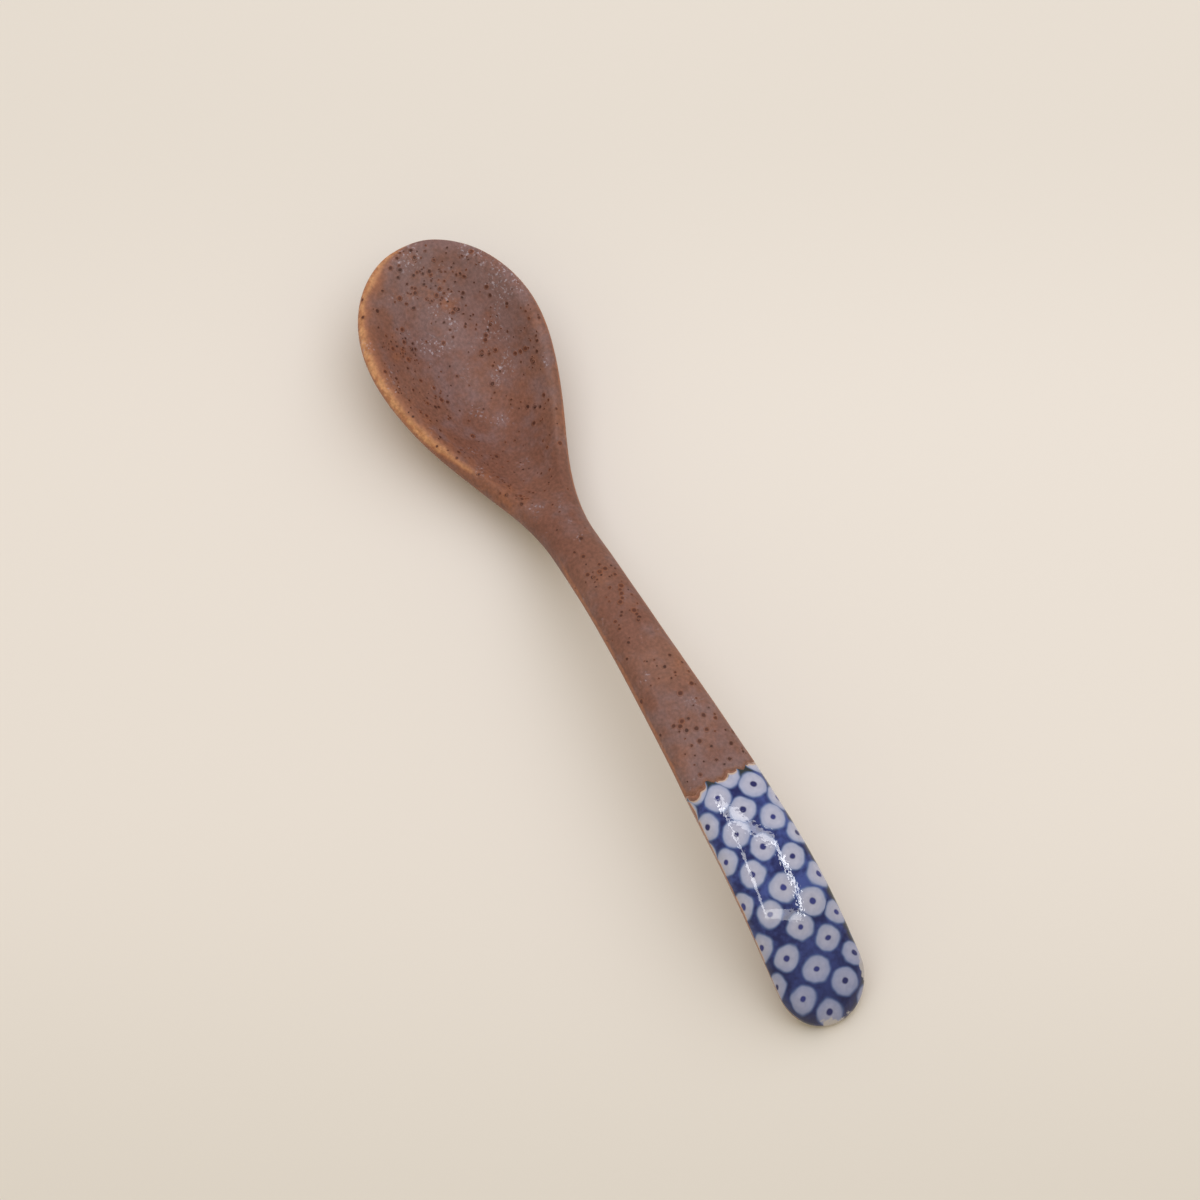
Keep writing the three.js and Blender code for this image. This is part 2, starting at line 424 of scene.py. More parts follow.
def larger(tree, first, second):
    """The larger of two values."""
    return calc(tree, "MAXIMUM", first, second)


def band(tree, value, start, end):
    """A smooth step of a value, from 0 at start to 1 at end. Start may be the larger."""
    inputs = {"Value": value, "From Min": start, "From Max": end}
    return add(tree, "ShaderNodeMapRange", inputs, interpolation_type="SMOOTHSTEP").outputs[0]


def zone(tree, along, start, end):
    """A smooth step along an axis, from 0 at start to 1 at end, in millimetres."""
    return band(tree, along, start * MM, end * MM)


def axes(tree, place):
    """A place's distances along the axes."""
    return add(tree, "ShaderNodeSeparateXYZ", {0: place}).outputs


def attribute(tree, name):
    """A number stored on the mesh, as a shader reads it."""
    return add(tree, "ShaderNodeAttribute", attribute_name=name).outputs["Fac"]


# Patterns that the glaze's parts share. A pair of numbers is where a share starts and where it is full
PATCHES = 3.2
GRAIN = 0.5
CLUSTER = 7.1
BOWL_ALONG = (30, 56)
BOWL_ACROSS = (10, 2)


def glaze_here(tree):
    """The group's inputs, the place on the spoon and the shared patterns, by name."""
    given = add(tree, "NodeGroupInput").outputs
    place = object_place(tree)
    where = axes(tree, place)
    return {
        "edge": given["Edge"],
        "parting": given["Parting"],
        "place": place,
        "x": where["X"],
        "y": where["Y"],
        "patchy": cloud(tree, place, PATCHES, 3.0),
        "fine": cloud(tree, place, GRAIN, 3.0),
        "in_bowl": times(tree, zone(tree, where["X"], *BOWL_ALONG), zone(tree, where["Y"], *BOWL_ACROSS)),
    }


# Thin glaze, by its distance inside the outline and beside the print
PALE_SIDE = (-2, 5)
PALE_BOWL = (20, 42)
NECK_START = (6, 20)
NECK_END = (42, 24)
NECK_SET_IN = 1.2
NECK_COVERED = (34, 25)
COVERED_FADE = (0.4, 0.06)
THIN_REACH = 0.23
PALE_REACH = 0.84
RIM_WANDER = 1.4
RIM_FADE = (1.7, 0.4)
RIM_TOP = (-0.3, 0.3)
PARTING_WANDER = 0.6
PARTING_FADE = (0.8, 0.05)
PARTING_SHARE = 0.4
FRINGE_FADE = (2.9, 1.2)


def glaze_thinness(tree, here):
    """Where the glaze runs thin, how pale it is there, and the rusty fringe inside the pale rim."""
    on_side = zone(tree, here["y"], *PALE_SIDE)
    pale = times(tree, on_side, zone(tree, here["x"], *PALE_BOWL))
    by_neck = times(tree, zone(tree, here["x"], *NECK_END), zone(tree, here["x"], *NECK_START))
    set_in = times(tree, on_side, by_neck)
    edge = plus(tree, here["edge"], set_in, -NECK_SET_IN)
    reach = plus(tree, THIN_REACH, pale, PALE_REACH)
    wander = plus(tree, -RIM_WANDER / 2, here["patchy"], RIM_WANDER)
    inside = calc(tree, "DIVIDE", plus(tree, edge, wander, reach), reach)
    rim = times(tree, band(tree, inside, *RIM_FADE), band(tree, edge, *RIM_TOP))
    covered = times(tree, set_in, zone(tree, here["x"], *NECK_COVERED))
    rim = times(tree, rim, band(tree, covered, *COVERED_FADE))
    line = band(tree, plus(tree, here["parting"], wander, PARTING_WANDER), *PARTING_FADE)
    fringe = times(tree, band(tree, inside, *FRINGE_FADE), pale)
    return larger(tree, rim, times(tree, line, PARTING_SHARE)), pale, fringe


# Brown in faint patches, darker over the bowl and neck with painted shade, and a grey mist that is partly a
# painted sheen in the bowl
BROWNS = (srgb(121, 77, 63), srgb(131, 88, 72))
BROWN_PATCHES = 13.0
BROWN_SPREAD = (0.35, 0.65)
BOWL_SHADED_BROWN = srgb(112, 67, 53)
BOWL_SHADE_START = (-4, 14)
BOWL_SHADE_END = (54, 32)
BOWL_SHADE_ACROSS = (-10, -3)
BOWL_SHADE_SHARE = 0.55
MIST_AND_SHEEN = srgb(126, 97, 95)
MIST_ON_HANDLE = (-6, -26)
MIST_ON_HANDLE_SHARE = 0.8
MIST_GAIN = 0.27
MIST_SPREAD = (0.45, 0.85)
MIST_SHARE = 0.75


def glaze_brown(tree, here):
    """The glaze's brown where it is thick, with painted shade over the bowl and neck, and a mist that is
    partly a painted sheen.
    """
    colour = mix(tree, band(tree, cloud(tree, here["place"], BROWN_PATCHES), *BROWN_SPREAD), *BROWNS)
    # Painted shade: a darker brown over the bowl, heel and neck, but not on the bowl's right side
    bowl_shade = times(tree, zone(tree, here["x"], *BOWL_SHADE_START), zone(tree, here["x"], *BOWL_SHADE_END))
    bowl_shade = times(tree, bowl_shade, zone(tree, here["y"], *BOWL_SHADE_ACROSS), BOWL_SHADE_SHARE)
    colour = mix(tree, bowl_shade, colour, BOWL_SHADED_BROWN)
    # Grey mist on the handle; in the bowl's front and right side it is a painted sheen
    on_handle = times(tree, zone(tree, here["x"], *MIST_ON_HANDLE), MIST_ON_HANDLE_SHARE)
    foggy = larger(tree, here["in_bowl"], on_handle)
    misty = band(tree, plus(tree, here["patchy"], foggy, MIST_GAIN), *MIST_SPREAD)
    return mix(tree, times(tree, misty, MIST_SHARE), colour, MIST_AND_SHEEN)


# Rust over the clusters of iron, less of it towards the print, and beside the pale rim
RUST = srgb(156, 96, 64)
RUST_SHARE = 0.6
RUST_PATCHES = 2.4
RUST_SPREAD = (0.36, 0.66)
CLUSTER_SPREAD = (0.55, 0.72)
CLUSTER_FADE = (-24, 4)
CLUSTER_LEAST = 0.5
BESIDE_RIM = (8.0, 3.0)
BESIDE_WANDER = 5.0
BESIDE_START = (16, 32)
BESIDE_END = (56, 40)
FRINGE_RUST = 0.75


def glaze_rust(tree, here, fringe):
    """How rusty the glaze is."""
    gathered = band(tree, cloud(tree, here["place"], CLUSTER), *CLUSTER_SPREAD)
    fade = plus(tree, CLUSTER_LEAST, zone(tree, here["x"], *CLUSTER_FADE), 1 - CLUSTER_LEAST)
    beside = band(tree, plus(tree, here["edge"], here["patchy"], BESIDE_WANDER), *BESIDE_RIM)
    beside = times(tree, beside, zone(tree, here["y"], *PALE_SIDE))
    beside = times(tree, beside, zone(tree, here["x"], *BESIDE_START), zone(tree, here["x"], *BESIDE_END))
    rust = larger(tree, times(tree, gathered, fade), beside)
    rust = times(tree, rust, band(tree, cloud(tree, here["place"], RUST_PATCHES, 4.0), *RUST_SPREAD))
    return larger(tree, rust, times(tree, fringe, FRINGE_RUST))


# Tan of the thin glaze, palest on the bowl's rim and mottled at its very edge
TANS = (srgb(168, 104, 67), srgb(213, 154, 106))
TAN_SHARE = 0.85
MOTTLE = 1.1
MOTTLE_SPREAD = (0.42, 0.58)
MOTTLE_EDGE = (1.2, 0.4)
MOTTLE_SHARE = 0.75


def glaze_tan(tree, here, thin, pale):
    """The colour of the thin glaze."""
    mottled = band(tree, cloud(tree, here["place"], MOTTLE, 3.0), *MOTTLE_SPREAD)
    mottled = times(tree, mottled, band(tree, here["edge"], *MOTTLE_EDGE))
    pale = times(tree, pale, plus(tree, 1.0, mottled, -MOTTLE_SHARE))
    return mix(tree, times(tree, thin, pale), *TANS)


# Dry patches with pale flecks, partly a painted sparkle, and glints, and a painted sheen that lightens the
# middle of the bowl
DRY_PATCHES = 4.6
DRY_IN_BOWL = 0.12
DRY_SPREAD = (0.6, 0.78)
FLECK_AND_SPARKLE_COLOUR = srgb(180, 166, 174)
FLECK = 0.42
FLECK_SPREAD = (0.54, 0.72)
FLECK_SHARE = 0.75
GLINT = 0.3
GLINT_SPREAD = (0.58, 0.7)
GLINT_GLOSS = 0.45
PAINTED_SHEEN_NEAR = (2, -3)
PAINTED_SHEEN_FAR = (-10, -6)
PAINTED_SHEEN_START = (31, 39)
PAINTED_SHEEN_END = (60, 53)
PAINTED_SHEEN_GAIN = 0.18


def glaze_dry(tree, here):
    """Where the glaze came out dry, more of it in the bowl, where its pale flecks are partly a painted
    sparkle.
    """
    patches = cloud(tree, here["place"], DRY_PATCHES)
    return band(tree, plus(tree, patches, here["in_bowl"], DRY_IN_BOWL), *DRY_SPREAD)


def glaze_grain_and_sheen(tree, here):
    """How light the glaze is, round 1: grainy, and lighter in the bowl's middle with a painted sheen."""
    # Painted sheen: a lighter band along the bowl's middle, a little to its right
    across = times(tree, zone(tree, here["y"], *PAINTED_SHEEN_NEAR), zone(tree, here["y"], *PAINTED_SHEEN_FAR))
    along = times(tree, zone(tree, here["x"], *PAINTED_SHEEN_START), zone(tree, here["x"], *PAINTED_SHEEN_END))
    grainy = calc(tree, "ADD", here["fine"], 0.5)
    return plus(tree, grainy, times(tree, across, along), PAINTED_SHEEN_GAIN)


GLAZE_ROUGHNESS = 0.56
GLAZE_DEPTH = 0.05
PATCHES_IN_HEIGHT = 0.6


def glaze_group():
    """Colour, height and roughness of the brown glaze at a distance from the outline and from the print."""
    tree = bpy.data.node_groups.new("Brown glaze", "ShaderNodeTree")
    for name in ("Edge", "Parting"):
        tree.interface.new_socket(name, in_out="INPUT", socket_type="NodeSocketFloat")
    for name, kind in (("Colour", "Color"), ("Height", "Float"), ("Roughness", "Float")):
        tree.interface.new_socket(name, in_out="OUTPUT", socket_type="NodeSocket" + kind)
    here = glaze_here(tree)
    thin, pale, fringe = glaze_thinness(tree, here)
    rusty = times(tree, glaze_rust(tree, here, fringe), RUST_SHARE)
    colour = mix(tree, rusty, glaze_brown(tree, here), RUST)
    colour = mix(tree, times(tree, thin, TAN_SHARE), colour, glaze_tan(tree, here, thin, pale))
    dry = glaze_dry(tree, here)
    # Pale flecks in the dry patches, real flecks and partly a painted sparkle, most in the bowl
    fleck = times(tree, band(tree, cloud(tree, here["place"], FLECK), *FLECK_SPREAD), dry)
    colour = mix(tree, times(tree, fleck, FLECK_SHARE), colour, FLECK_AND_SPARKLE_COLOUR)
    inputs = {"Value": glaze_grain_and_sheen(tree, here), "Color": colour}
    colour = add(tree, "ShaderNodeHueSaturation", inputs).outputs[0]
    glint = times(tree, band(tree, cloud(tree, here["place"], GLINT, 1.0), *GLINT_SPREAD), dry)
    height = plus(tree, here["fine"], here["patchy"], PATCHES_IN_HEIGHT)
    rough = plus(tree, GLAZE_ROUGHNESS, glint, -GLINT_GLOSS)
    add(tree, "NodeGroupOutput", {"Colour": colour, "Height": height, "Roughness": rough})
    return tree


GLAZE_GROUP = glaze_group()


def glaze(tree):
    """The brown glaze's outputs at the point's own distances."""
    inputs = {"Edge": attribute(tree, "edge_mm"), "Parting": attribute(tree, "parting_mm")}
    return add(tree, "ShaderNodeGroup", inputs, node_tree=GLAZE_GROUP).outputs


def brown_material():
    """Matt brown glaze."""
    made, tree, shader = new_material("brown_matt_glaze")
    given = glaze(tree)
    tree.links.new(given["Colour"], shader.inputs["Base Color"])
    tree.links.new(given["Roughness"], shader.inputs["Roughness"])
    tree.links.new(bump(tree, given["Height"], GLAZE_DEPTH), shader.inputs["Normal"])
    return made


brown_glaze, _ = coat("brown_glaze_skin", ~is_printed)
brown_glaze.data.materials.append(brown_material())
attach(brown_glaze, "root")
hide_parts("brown_glaze")

# Iron spots
# Grains of iron in the clay that boiled up through the brown glaze in the kiln and left small dark pits with
# a faint rim. They lie all over the glaze in loose clusters, most of them under half a millimetre across.
SPOT_DARKS = (srgb(64, 30, 24), srgb(94, 48, 35))
SPOT_DARK_FADE = (0.8, 0.35)
SPOT_HALO = srgb(150, 86, 50)
SPOT_HALO_FADE = (1.0, 0.55)
SPOT_HALO_SHARE = 0.7


def spot_material():
    """A dark spot in a rusty halo that fades into the glaze, by the distance from its middle."""
    made, tree, shader = new_material("iron_spots")
    given = glaze(tree)
    spread = attribute(tree, "spread")
    tone = attribute(tree, "tone")
    halo = times(tree, band(tree, spread, *SPOT_HALO_FADE), tone, SPOT_HALO_SHARE)
    colour = mix(tree, halo, given["Colour"], SPOT_HALO)
    dark = mix(tree, tone, *SPOT_DARKS)
    colour = mix(tree, band(tree, spread, *SPOT_DARK_FADE), colour, dark)
    tree.links.new(colour, shader.inputs["Base Color"])
    tree.links.new(given["Roughness"], shader.inputs["Roughness"])
    tree.links.new(bump(tree, given["Height"], GLAZE_DEPTH), shader.inputs["Normal"])
    return made


def vector(tree, operation, *values):
    """The result of a Vector Math node that gives a vector."""
    return add(tree, "ShaderNodeVectorMath", dict(enumerate(values)), operation=operation).outputs[0]


def scaled(tree, value, scale):
    """A vector made longer or shorter."""
    return add(tree, "ShaderNodeVectorMath", {0: value, "Scale": scale}, operation="SCALE").outputs[0]


def swing(tree, place, scale, detail):
    """A noisy vector round 0, with features of 1 over the scale."""
    inputs = {"Vector": place, "Scale": scale, "Detail": detail}
    noisy = add(tree, "ShaderNodeTexNoise", inputs).outputs["Color"]
    return vector(tree, "SUBTRACT", noisy, (0.5, 0.5, 0.5))


def stored(tree, name, data_type="FLOAT"):
    """An attribute of the mesh, as geometry nodes read it."""
    inputs = {"Name": name}
    return add(tree, "GeometryNodeInputNamedAttribute", inputs, data_type=data_type).outputs["Attribute"]


def store(tree, geometry, name, value):
    """Geometry with a number stored at its points."""
    inputs = {"Geometry": geometry, "Name": name, "Value": value}
    return add(tree, "GeometryNodeStoreNamedAttribute", inputs).outputs[0]


def lot(tree, seed):
    """An even random number from 0 to 1."""
    inputs = {2: 0.0, 3: 1.0, "Seed": seed}
    return add(tree, "FunctionNodeRandomValue", inputs, data_type="FLOAT").outputs[1]


def of_surface(tree, mesh, value, data_type="FLOAT"):
    """A mesh's value at the place of its surface that is nearest to each point."""
    inputs = {"Mesh": mesh, "Value": value}
    return add(tree, "GeometryNodeSampleNearestSurface", inputs, data_type=data_type).outputs["Value"]


# Scatter: thicker in clusters, none at the foot, few on the rim, and fewer towards the print
TONE_SEED = 3
SIZE_SEED = 8
CROWD_SPREAD = (0.42, 0.66)
CROWD_GAIN = 2.2
CROWD_LEAST = 0.35
ABOVE_FOOT = (0.6, 1.0)
OFF_RIM = (0.5, 1.6)
ON_RIM_SHARE = 0.1
OFF_PRINT = (-20, 25)
BY_PRINT_SHARE = 0.6


def spot_places(tree, given, position):
    """Points scattered on the skin, each with its tone, and their rotations."""
    inputs = {"Vector": position, "Scale": given["Cluster"], "Detail": 2.0}
    gathered = add(tree, "ShaderNodeTexNoise", inputs).outputs[0]
    where = axes(tree, position)
    crowd = plus(tree, CROWD_LEAST, band(tree, gathered, *CROWD_SPREAD), CROWD_GAIN)
    crowd = times(tree, crowd, zone(tree, where["Z"], *ABOVE_FOOT))
    off_rim = band(tree, calc(tree, "ABSOLUTE", stored(tree, "edge_mm")), *OFF_RIM)
    crowd = times(tree, crowd, plus(tree, ON_RIM_SHARE, off_rim, 1 - ON_RIM_SHARE))
    off_print = zone(tree, where["X"], *OFF_PRINT)
    crowd = times(tree, crowd, plus(tree, BY_PRINT_SHARE, off_print, 1 - BY_PRINT_SHARE))
    inputs = {
        "Mesh": given["Geometry"],
        "Selection": stored(tree, "on_skin", "BOOLEAN"),
        "Density": times(tree, crowd, given["Density"]),
        "Seed": given["Seed"],
    }
    scatter = add(tree, "GeometryNodeDistributePointsOnFaces", inputs).outputs
    return store(tree, scatter["Points"], "tone", lot(tree, TONE_SEED)), scatter["Rotation"]


# Size: most spots are small, and those on the stem and handle a little larger
SMALL_POWER = 2.4
LARGER_ON_STEM = (24, 4)
LARGER_SHARE = 0.12


def spot_size(tree, given, position):
    """The size of each spot."""
    range_of_sizes = calc(tree, "SUBTRACT", given["Largest"], given["Smallest"])
    mostly_small = calc(tree, "POWER", lot(tree, SIZE_SEED), SMALL_POWER)
    size = plus(tree, given["Smallest"], mostly_small, range_of_sizes)
    on_stem = zone(tree, axes(tree, position)["X"], *LARGER_ON_STEM)
    return times(tree, size, plus(tree, 1.0, on_stem, LARGER_SHARE))


# Form: an uneven disc whose edge is let into the glaze, with a low rim inside it. Heights are in millimetres
DISC_SIDES = 9
DISC_RINGS = 4
DISC_HEIGHT = 0.01
UNEVEN_PER_METRE = 2600.0
UNEVEN = 0.2
SPOT_LIFT = 0.004
SPOT_RIM = 0.014
SPOT_RIM_INSIDE = (0.2, 0.6)
SPOT_RIM_OUTSIDE = (0.98, 0.7)
LET_IN = 0.012
LET_IN_FROM = (0.85, 1.0)


def spot_disc(tree, position):
    """A thin closed disc of rings, of radius 1, with each point's distance from the middle."""
    inputs = {
        "Vertices": DISC_SIDES,
        "Side Segments": DISC_RINGS,
        "Radius Top": 0.0,
        "Radius Bottom": 1.0,
        "Depth": DISC_HEIGHT,
    }
    disc = add(tree, "GeometryNodeMeshCone", inputs, fill_type="NGON").outputs["Mesh"]
    reach = add(tree, "ShaderNodeVectorMath", {0: position}, operation="LENGTH").outputs["Value"]
    return store(tree, disc, "spread", reach)


def spot_lift(tree):
    """Height of a spot's points above the glaze, by their distance from its middle."""
    spread = stored(tree, "spread")
    rim = times(tree, band(tree, spread, *SPOT_RIM_INSIDE), band(tree, spread, *SPOT_RIM_OUTSIDE))
    let_in = times(tree, band(tree, spread, *LET_IN_FROM), -LET_IN * MM)
    return calc(tree, "ADD", plus(tree, SPOT_LIFT * MM, rim, SPOT_RIM * MM), let_in)


def spot_laid(tree, real, given, position):
    """Discs made uneven and laid on the glaze at the heights of their points."""
    shaken = scaled(tree, swing(tree, position, UNEVEN_PER_METRE, 0.0), UNEVEN * MM)
    real = add(tree, "GeometryNodeSetPosition", {"Geometry": real, "Offset": shaken}).outputs[0]
    inputs = {"Geometry": given["Geometry"]}
    laid = add(tree, "GeometryNodeProximity", inputs, target_element="FACES").outputs["Position"]
    normal = add(tree, "GeometryNodeInputNormal").outputs[0]
    outward = of_surface(tree, given["Geometry"], normal, "FLOAT_VECTOR")
    inputs = {"Geometry": real, "Position": laid, "Offset": scaled(tree, outward, spot_lift(tree))}
    return add(tree, "GeometryNodeSetPosition", inputs).outputs[0]


def spot_sockets(tree):
    """Makes the tree's sockets, and gives the identifiers of its inputs for sizes, seed and material."""
    tree.interface.new_socket("Geometry", in_out="INPUT", socket_type="NodeSocketGeometry")
    kinds = {name: "Float" for name in ("Density", "Smallest", "Largest", "Cluster")}
    kinds.update({"Seed": "Int", "Material": "Material"})
    sockets = {}
    for name, kind in kinds.items():
        made = tree.interface.new_socket(name, in_out="INPUT", socket_type="NodeSocket" + kind)
        sockets[name] = made.identifier
    tree.interface.new_socket("Geometry", in_out="OUTPUT", socket_type="NodeSocketGeometry")
    return sockets


def spot_tree():
    """Geometry nodes that scatter spots and lay each one on the glaze, with their inputs' identifiers."""
    tree = bpy.data.node_groups.new("Iron spots", "GeometryNodeTree")
    sockets = spot_sockets(tree)
    given = add(tree, "NodeGroupInput").outputs
    position = add(tree, "GeometryNodeInputPosition").outputs[0]
    points, rotation = spot_places(tree, given, position)
    inputs = {
        "Points": points,
        "Instance": spot_disc(tree, position),
        "Rotation": rotation,
        "Scale": spot_size(tree, given, position),
    }
    placed = add(tree, "GeometryNodeInstanceOnPoints", inputs).outputs[0]
    real = add(tree, "GeometryNodeRealizeInstances", {"Geometry": placed}).outputs[0]
    real = spot_laid(tree, real, given, position)
    for name in ("edge_mm", "parting_mm"):
        real = store(tree, real, name, of_surface(tree, given["Geometry"], stored(tree, name)))
    real = add(tree, "GeometryNodeSetShadeSmooth", {"Geometry": real}).outputs[0]
    inputs = {"Geometry": real, "Material": given["Material"]}
    real = add(tree, "GeometryNodeSetMaterial", inputs).outputs[0]
    add(tree, "NodeGroupOutput", {"Geometry": real})
    return tree, sockets


def grown(name, carrier, tree, values):
    """A new object with the mesh that geometry nodes make on a carrier's mesh."""
    made = bpy.data.objects.new(name, carrier.data.copy())
    bpy.context.scene.collection.objects.link(made)
    modifier = made.modifiers.new(name, "NODES")
    modifier.node_group = tree
    for identifier, value in values.items():
        modifier[identifier] = value
    made.update_tag()
    bpy.context.view_layer.update()
    mesh = bpy.data.meshes.new_from_object(made.evaluated_get(bpy.context.evaluated_depsgraph_get()))
    made.modifiers.clear()
    made.data = mesh
    return made


SPOT_TREE, SPOT_SOCKETS = spot_tree()
SPOT_VALUES = {
    "Density": 350000.0,
    "Smallest": 0.2 * MM,
    "Largest": 0.58 * MM,
    "Cluster": 1 / (CLUSTER * MM),
    "Seed": 23,
    "Material": spot_material(),
}
spot_inputs = {SPOT_SOCKETS[name]: value for name, value in SPOT_VALUES.items()}
iron_spots = grown("iron_spots", brown_glaze, SPOT_TREE, spot_inputs)
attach(iron_spots, "root")

# Print and clear glaze
# The blue and white print of dots in rounded squares on the handle's end, a transfer let into the brown
# glaze's window and carried over the tip. The shader's coat is the clear gloss glaze over it.
PITCH = 4.47
TURN = math.radians(42)
GROWTH = 0.004
PRINT_MIDDLE = 18.0
STRETCH = 0.5
STRETCH_FROM = 14.0
STRETCH_TO = 27.0
JITTER = 0.16
SPINE_POINTS = 400


def round_the_handle():
    """Distance of the skin's points from the middle of the top, round their ring, positive towards +Y."""
    body = SKIN[1:-1].reshape(LAST - 1, RING, 3)
    steps = np.linalg.norm(np.diff(body[:, :TOP_PLACES + 1], axis=1), axis=2)
    walked = np.hstack((np.zeros((LAST - 1, 1)), np.cumsum(steps, axis=1)))
    to_middle = walked[:, TOP_PLACES // 2, None]
    across = body[:, :, 1] * to_middle / body[:, :1, 1]
    across[:, :TOP_PLACES + 1] = to_middle - walked
    return np.concatenate(((0,), across.ravel(), (0,)))


def print_places():
    """The skin's points in cells of the print, whose pitch grows along it and is stretched near the end."""
    spine = np.linspace(PRINT_AT, LENGTH, SPINE_POINTS)
    steps = np.hypot(np.diff(spine), np.diff(edge_height(spine)))
    along = np.interp(SKIN[:, 0], spine, np.concatenate(((0,), np.cumsum(steps))))
    along -= STRETCH * ease(STRETCH_FROM, STRETCH_TO, along)
    scale = 1 + GROWTH * (along - PRINT_MIDDLE)
    flat = np.log(scale) / GROWTH
    across = round_the_handle() / scale
    first = (flat * math.cos(TURN) - across * math.sin(TURN)) / PITCH
    second = (flat * math.sin(TURN) + across * math.cos(TURN)) / PITCH
    return np.stack((first, second, np.zeros_like(first)), axis=1) + JITTER / 2


# White shapes and their dots, in cells of the print: their least reach, its random part and its wobble
SHAPE_REACH = 0.392
SHAPE_LOT = 0.06
SHAPE_WOBBLE = 0.16
DOT_REACH = 0.085
DOT_LOT = 0.03
DOT_WOBBLE = 0.07
WOBBLES_PER_CELL = 2.4
SQUARENESS = 2.2
NEAR_END = (-50, -66)
SMALLER_NEAR_END = 0.04
NEAR_START = (-47, -35)
LARGER_NEAR_START = 0.04
SHAPE_EDGE = (0.035, -0.05)
PRINT_SIDE = (2, 5)


def print_lattice(tree, wobble):
    """The nearest place of the print's lattice, with edges that wobble."""
    cells = add(tree, "ShaderNodeAttribute", attribute_name="print_cell").outputs["Vector"]
    shake = swing(tree, cells, WOBBLES_PER_CELL, 1.0)
    shaken = vector(tree, "MULTIPLY_ADD", shake, (wobble, wobble, 0.0), cells)
    inputs = {"Vector": shaken, "Scale": 1.0, "Randomness": JITTER, "Exponent": SQUARENESS}
    settings = {"voronoi_dimensions": "2D", "distance": "MINKOWSKI"}
    return add(tree, "ShaderNodeTexVoronoi", inputs, **settings).outputs


def print_here(tree, place):
    """The place on the print, its distances past the white shape and the dot, and other shares, by name."""
    shape = print_lattice(tree, SHAPE_WOBBLE)
    dot = print_lattice(tree, DOT_WOBBLE)
    lots = add(tree, "ShaderNodeSeparateColor", {"Color": shape["Color"]}).outputs
    where = axes(tree, place)
    near_end = zone(tree, where["X"], *NEAR_END)
    past = calc(tree, "SUBTRACT", shape["Distance"], plus(tree, SHAPE_REACH, lots["Red"], SHAPE_LOT))
    past = plus(tree, past, near_end, SMALLER_NEAR_END)
    past = plus(tree, past, zone(tree, where["X"], *NEAR_START), -LARGER_NEAR_START)
    return {
        "place": place,
        "x": where["X"],
        "y": where["Y"],
        "edge": attribute(tree, "edge_mm"),
        "parting": attribute(tree, "parting_mm"),
        "near_end": near_end,
        "on_side": zone(tree, where["Y"], *PRINT_SIDE),
        "past": past,
        "past_dot": calc(tree, "SUBTRACT", dot["Distance"], plus(tree, DOT_REACH, lots["Green"], DOT_LOT)),
        "on_white": band(tree, past, *SHAPE_EDGE),
        "lot": lots["Blue"],
    }


# Washed blue ground, darker near the end with painted shade, darker over the brown glaze, and paler round the
# shapes
BLUES = (srgb(22, 30, 90), srgb(64, 80, 148))
WASH = 4.0
FINE_WASH = 0.8
FINE_WASH_SHARE = 0.5
WASH_SPREAD = (0.55, 1.0)
END_SHADED_BLUE = srgb(16, 20, 70)
END_SHADED_BLUE_SHARE = 0.5
OVER_BROWN = srgb(40, 46, 52)
OVER_BROWN_PATCHES = 1.6
OVER_BROWN_WANDER = 1.6
OVER_BROWN_FADE = (2.6, 1.5)
PAST_TOP_EDGE = (-33, -36)
LESS_ON_SIDE = 0.8
BLEED = srgb(92, 118, 166)
BLEED_FADE = (0.08, 0.0)
BLEED_SHARE = 0.55


def print_ground(tree, here):
    """The blue between the white shapes."""
    coarse = cloud(tree, here["place"], WASH, 3.0)
    wash = plus(tree, coarse, cloud(tree, here["place"], FINE_WASH), FINE_WASH_SHARE)
    ground = mix(tree, band(tree, wash, *WASH_SPREAD), *BLUES)
    # Painted shade: a darker blue where the end turns down
    ground = mix(tree, times(tree, here["near_end"], END_SHADED_BLUE_SHARE), ground, END_SHADED_BLUE)
    patches = cloud(tree, here["place"], OVER_BROWN_PATCHES)
    over_brown = band(tree, plus(tree, here["parting"], patches, OVER_BROWN_WANDER), *OVER_BROWN_FADE)
    on_side = times(tree, here["on_side"], zone(tree, here["x"], *PAST_TOP_EDGE))
    over_brown = times(tree, over_brown, plus(tree, 1.0, on_side, -LESS_ON_SIDE))
    ground = mix(tree, over_brown, ground, OVER_BROWN)
    return mix(tree, times(tree, band(tree, here["past"], *BLEED_FADE), BLEED_SHARE), ground, BLEED)


# White shapes, bluer at their edges, their dots, and painted shade that darkens the print near the end
WHITES = (srgb(160, 161, 184), srgb(197, 196, 215))
WHITE_PATCHES = 0.9
WHITE_EDGE = srgb(136, 150, 190)
WHITE_EDGE_FADE = (-0.2, 0.0)
WHITE_EDGE_SHARE = 0.45
INKS = (srgb(30, 33, 92), srgb(56, 62, 132))
DOT_EDGE = (0.03, -0.03)
END_PAINTED_SHADE = (0.7, 0.735, 0.88, 1.0)


